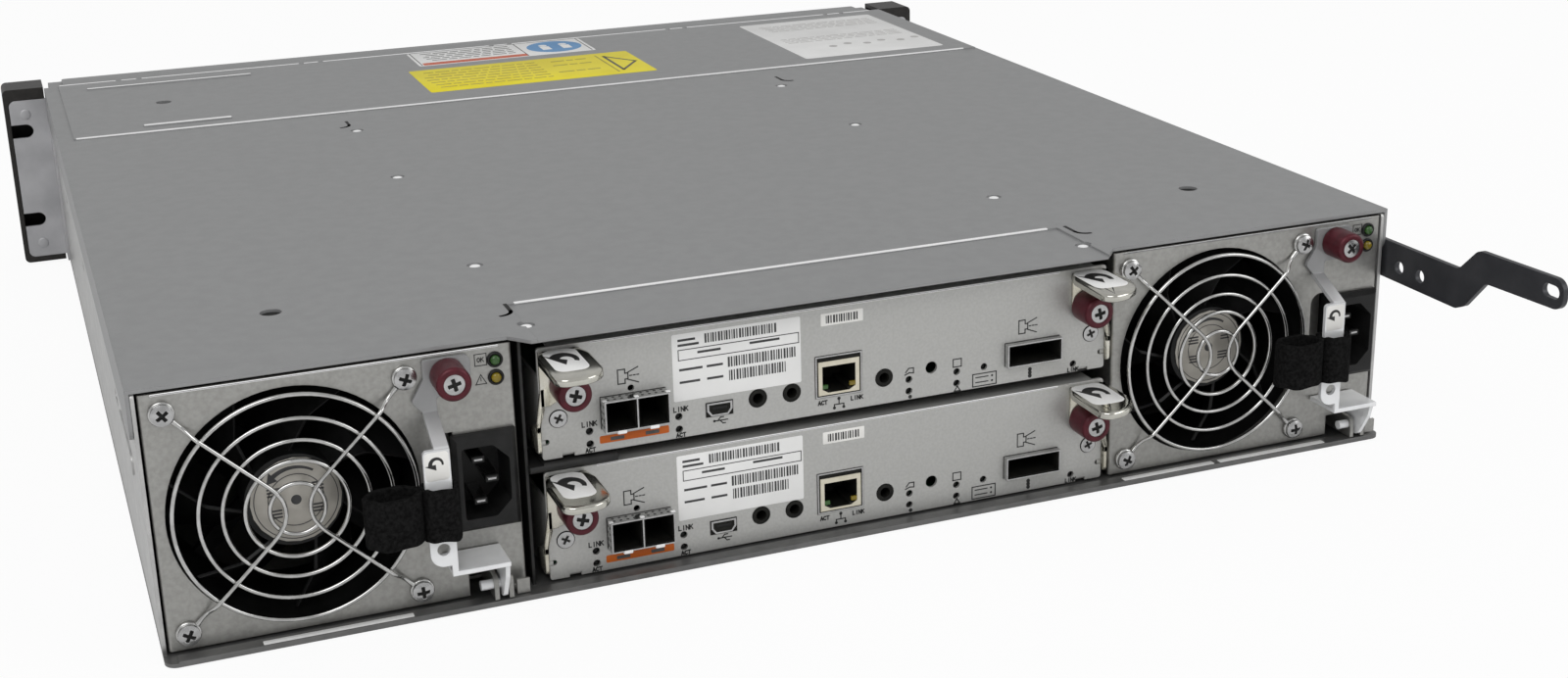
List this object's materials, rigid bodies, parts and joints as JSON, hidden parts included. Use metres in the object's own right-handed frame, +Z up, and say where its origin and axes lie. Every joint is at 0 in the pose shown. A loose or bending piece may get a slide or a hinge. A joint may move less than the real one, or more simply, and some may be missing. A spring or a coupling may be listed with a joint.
{
  "type": "disk shelf enclosure",
  "caption": "Two-unit rack disk shelf with hot-swap drive bays at the front, and twin controllers and fan-cooled power supplies at the rear.",
  "frame": {"origin": "underside of the chassis, midway across, in the plane of the rack ears' rear faces", "axes": "+Y from the drive bays at the front towards the power supplies at the rear, +Z up"},
  "size_m": [0.4826, 0.5798, 0.0885],
  "materials": {
    "black_plastic": "matt",
    "board_green": "solder mask",
    "burgundy": "satin anodised",
    "cream_steel": "satin zinc-plated sheet",
    "dark_plastic": "fine matt",
    "dark_steel": "satin",
    "drive_grey": "matt",
    "grey_paint": "fine satin",
    "light_lens": "clear",
    "screw_steel": "bright",
    "strap_fabric": "woven hook and loop",
    "wire_chrome": "bright",
    "zinc": "satin zinc-plated sheet"
  },
  "bodies": {
    "chassis": {"chassis_tray": "zinc", "top_cover": "grey_paint", "drive_cage": "zinc", "midplane_board": "board_green", "midplane_connectors": "black_plastic", "rack_ears": "zinc", "bay_walls": "zinc", "controller_shelf": "zinc", "rear_arm": "dark_steel", "drive_blanks": "dark_plastic"},
    "left_cap": {"left_ear_cap": "dark_plastic"},
    "right_cap": {"right_ear_cap": "dark_plastic"},
    "psu_1": {"psu_1_case": "zinc", "psu_1_fan_frame": "black_plastic", "psu_1_fan_guard": "wire_chrome", "psu_1_guard_screws": "screw_steel", "psu_1_inlet": "black_plastic", "psu_1_lights": "light_lens", "psu_1_connector": "black_plastic"},
    "psu_1_fan": {"psu_1_fan_rotor": "black_plastic"},
    "psu_1_grip": {"psu_1_handle": "zinc", "psu_1_cable_strap": "strap_fabric"},
    "psu_1_screw": {"psu_1_thumbscrew": "burgundy"},
    "psu_2": {"psu_2_case": "zinc", "psu_2_fan_frame": "black_plastic", "psu_2_fan_guard": "wire_chrome", "psu_2_guard_screws": "screw_steel", "psu_2_inlet": "black_plastic", "psu_2_lights": "light_lens", "psu_2_connector": "black_plastic"},
    "psu_2_fan": {"psu_2_fan_rotor": "black_plastic"},
    "psu_2_grip": {"psu_2_handle": "zinc", "psu_2_cable_strap": "strap_fabric"},
    "psu_2_screw": {"psu_2_thumbscrew": "burgundy"},
    "lower_controller": {"lower_controller_tray": "zinc", "lower_controller_board": "board_green", "lower_controller_connector": "black_plastic", "lower_controller_port_shells": "screw_steel", "lower_controller_port_inserts": "black_plastic", "lower_controller_light_pipes": "light_lens"},
    "lower_left_lever": {"lower_controller_left_lever": "cream_steel"},
    "lower_left_screw": {"lower_controller_left_thumbscrew": "burgundy"},
    "lower_right_lever": {"lower_controller_right_lever": "cream_steel"},
    "lower_right_screw": {"lower_controller_right_thumbscrew": "burgundy"},
    "upper_controller": {"upper_controller_tray": "zinc", "upper_controller_board": "board_green", "upper_controller_connector": "black_plastic", "upper_controller_port_shells": "screw_steel", "upper_controller_port_inserts": "black_plastic", "upper_controller_light_pipes": "light_lens"},
    "upper_left_lever": {"upper_controller_left_lever": "cream_steel"},
    "upper_left_screw": {"upper_controller_left_thumbscrew": "burgundy"},
    "upper_right_lever": {"upper_controller_right_lever": "cream_steel"},
    "upper_right_screw": {"upper_controller_right_thumbscrew": "burgundy"},
    "drive_1": {"drive_1_carrier": "drive_grey"},
    "drive_1_latch": {"drive_1_lever": "dark_plastic"},
    "drive_2": {"drive_2_carrier": "drive_grey"},
    "drive_2_latch": {"drive_2_lever": "dark_plastic"},
    "drive_3": {"drive_3_carrier": "drive_grey"},
    "drive_3_latch": {"drive_3_lever": "dark_plastic"}
  },
  "joints": [
    {"name": "left_cap_pull", "type": "slide", "parent": "chassis", "child": "left_cap", "axis": [0, -1, 0], "range_m": [0, 0.03]},
    {"name": "right_cap_pull", "type": "slide", "parent": "chassis", "child": "right_cap", "axis": [0, -1, 0], "range_m": [0, 0.03]},
    {"name": "psu_1_slide", "type": "slide", "parent": "chassis", "child": "psu_1", "axis": [0, 1, 0], "range_m": [0, 0.32]},
    {"name": "psu_1_fan_spin", "type": "hinge", "parent": "psu_1", "child": "psu_1_fan", "pos_m": [0.1768, 0.438, 0.0433], "axis": [0, 1, 0], "continuous": true},
    {"name": "psu_1_handle_swing", "type": "hinge", "parent": "psu_1", "child": "psu_1_grip", "pos_m": [0.1158, 0.462, 0.0068], "axis": [-1, 0, 0], "range_deg": [0, 60]},
    {"name": "psu_1_screw_turn", "type": "hinge", "parent": "psu_1_grip", "child": "psu_1_screw", "pos_m": [0.1281, 0.466, 0.0785], "axis": [0, 1, 0], "continuous": true},
    {"name": "psu_2_slide", "type": "slide", "parent": "chassis", "child": "psu_2", "axis": [0, 1, 0], "range_m": [0, 0.32]},
    {"name": "psu_2_fan_spin", "type": "hinge", "parent": "psu_2", "child": "psu_2_fan", "pos_m": [-0.1494, 0.438, 0.0433], "axis": [0, 1, 0], "continuous": true},
    {"name": "psu_2_handle_swing", "type": "hinge", "parent": "psu_2", "child": "psu_2_grip", "pos_m": [-0.2104, 0.462, 0.0068], "axis": [-1, 0, 0], "range_deg": [0, 60]},
    {"name": "psu_2_screw_turn", "type": "hinge", "parent": "psu_2_grip", "child": "psu_2_screw", "pos_m": [-0.1981, 0.466, 0.0785], "axis": [0, 1, 0], "continuous": true},
    {"name": "lower_controller_slide", "type": "slide", "parent": "chassis", "child": "lower_controller", "axis": [0, 1, 0], "range_m": [0, 0.31]},
    {"name": "lower_left_lever_swing", "type": "hinge", "parent": "lower_controller", "child": "lower_left_lever", "pos_m": [0.1005, 0.455, 0.0077], "axis": [-1, 0, 0], "range_deg": [0, 50]},
    {"name": "lower_left_screw_turn", "type": "hinge", "parent": "lower_left_lever", "child": "lower_left_screw", "pos_m": [0.0906, 0.466, 0.0267], "axis": [0, 1, 0], "continuous": true},
    {"name": "lower_right_lever_swing", "type": "hinge", "parent": "lower_controller", "child": "lower_right_lever", "pos_m": [-0.1053, 0.455, 0.0077], "axis": [-1, 0, 0], "range_deg": [0, 50]},
    {"name": "lower_right_screw_turn", "type": "hinge", "parent": "lower_right_lever", "child": "lower_right_screw", "pos_m": [-0.0954, 0.466, 0.0267], "axis": [0, 1, 0], "continuous": true},
    {"name": "upper_controller_slide", "type": "slide", "parent": "chassis", "child": "upper_controller", "axis": [0, 1, 0], "range_m": [0, 0.31]},
    {"name": "upper_left_lever_swing", "type": "hinge", "parent": "upper_controller", "child": "upper_left_lever", "pos_m": [0.1005, 0.455, 0.0497], "axis": [-1, 0, 0], "range_deg": [0, 50]},
    {"name": "upper_left_screw_turn", "type": "hinge", "parent": "upper_left_lever", "child": "upper_left_screw", "pos_m": [0.0906, 0.466, 0.0687], "axis": [0, 1, 0], "continuous": true},
    {"name": "upper_right_lever_swing", "type": "hinge", "parent": "upper_controller", "child": "upper_right_lever", "pos_m": [-0.1053, 0.455, 0.0497], "axis": [-1, 0, 0], "range_deg": [0, 50]},
    {"name": "upper_right_screw_turn", "type": "hinge", "parent": "upper_right_lever", "child": "upper_right_screw", "pos_m": [-0.0954, 0.466, 0.0687], "axis": [0, 1, 0], "continuous": true},
    {"name": "drive_1_slide", "type": "slide", "parent": "chassis", "child": "drive_1", "axis": [0, -1, 0], "range_m": [0, 0.16]},
    {"name": "drive_1_lever_swing", "type": "hinge", "parent": "drive_1", "child": "drive_1_latch", "pos_m": [-0.2093, -0.0254, 0.0177], "axis": [1, 0, 0], "range_deg": [0, 60]},
    {"name": "drive_2_slide", "type": "slide", "parent": "chassis", "child": "drive_2", "axis": [0, -1, 0], "range_m": [0, 0.16]},
    {"name": "drive_2_lever_swing", "type": "hinge", "parent": "drive_2", "child": "drive_2_latch", "pos_m": [-0.1911, -0.0254, 0.0177], "axis": [1, 0, 0], "range_deg": [0, 60]},
    {"name": "drive_3_slide", "type": "slide", "parent": "chassis", "child": "drive_3", "axis": [0, -1, 0], "range_m": [0, 0.16]},
    {"name": "drive_3_lever_swing", "type": "hinge", "parent": "drive_3", "child": "drive_3_latch", "pos_m": [-0.1729, -0.0254, 0.0177], "axis": [1, 0, 0], "range_deg": [0, 60]}
  ]
}
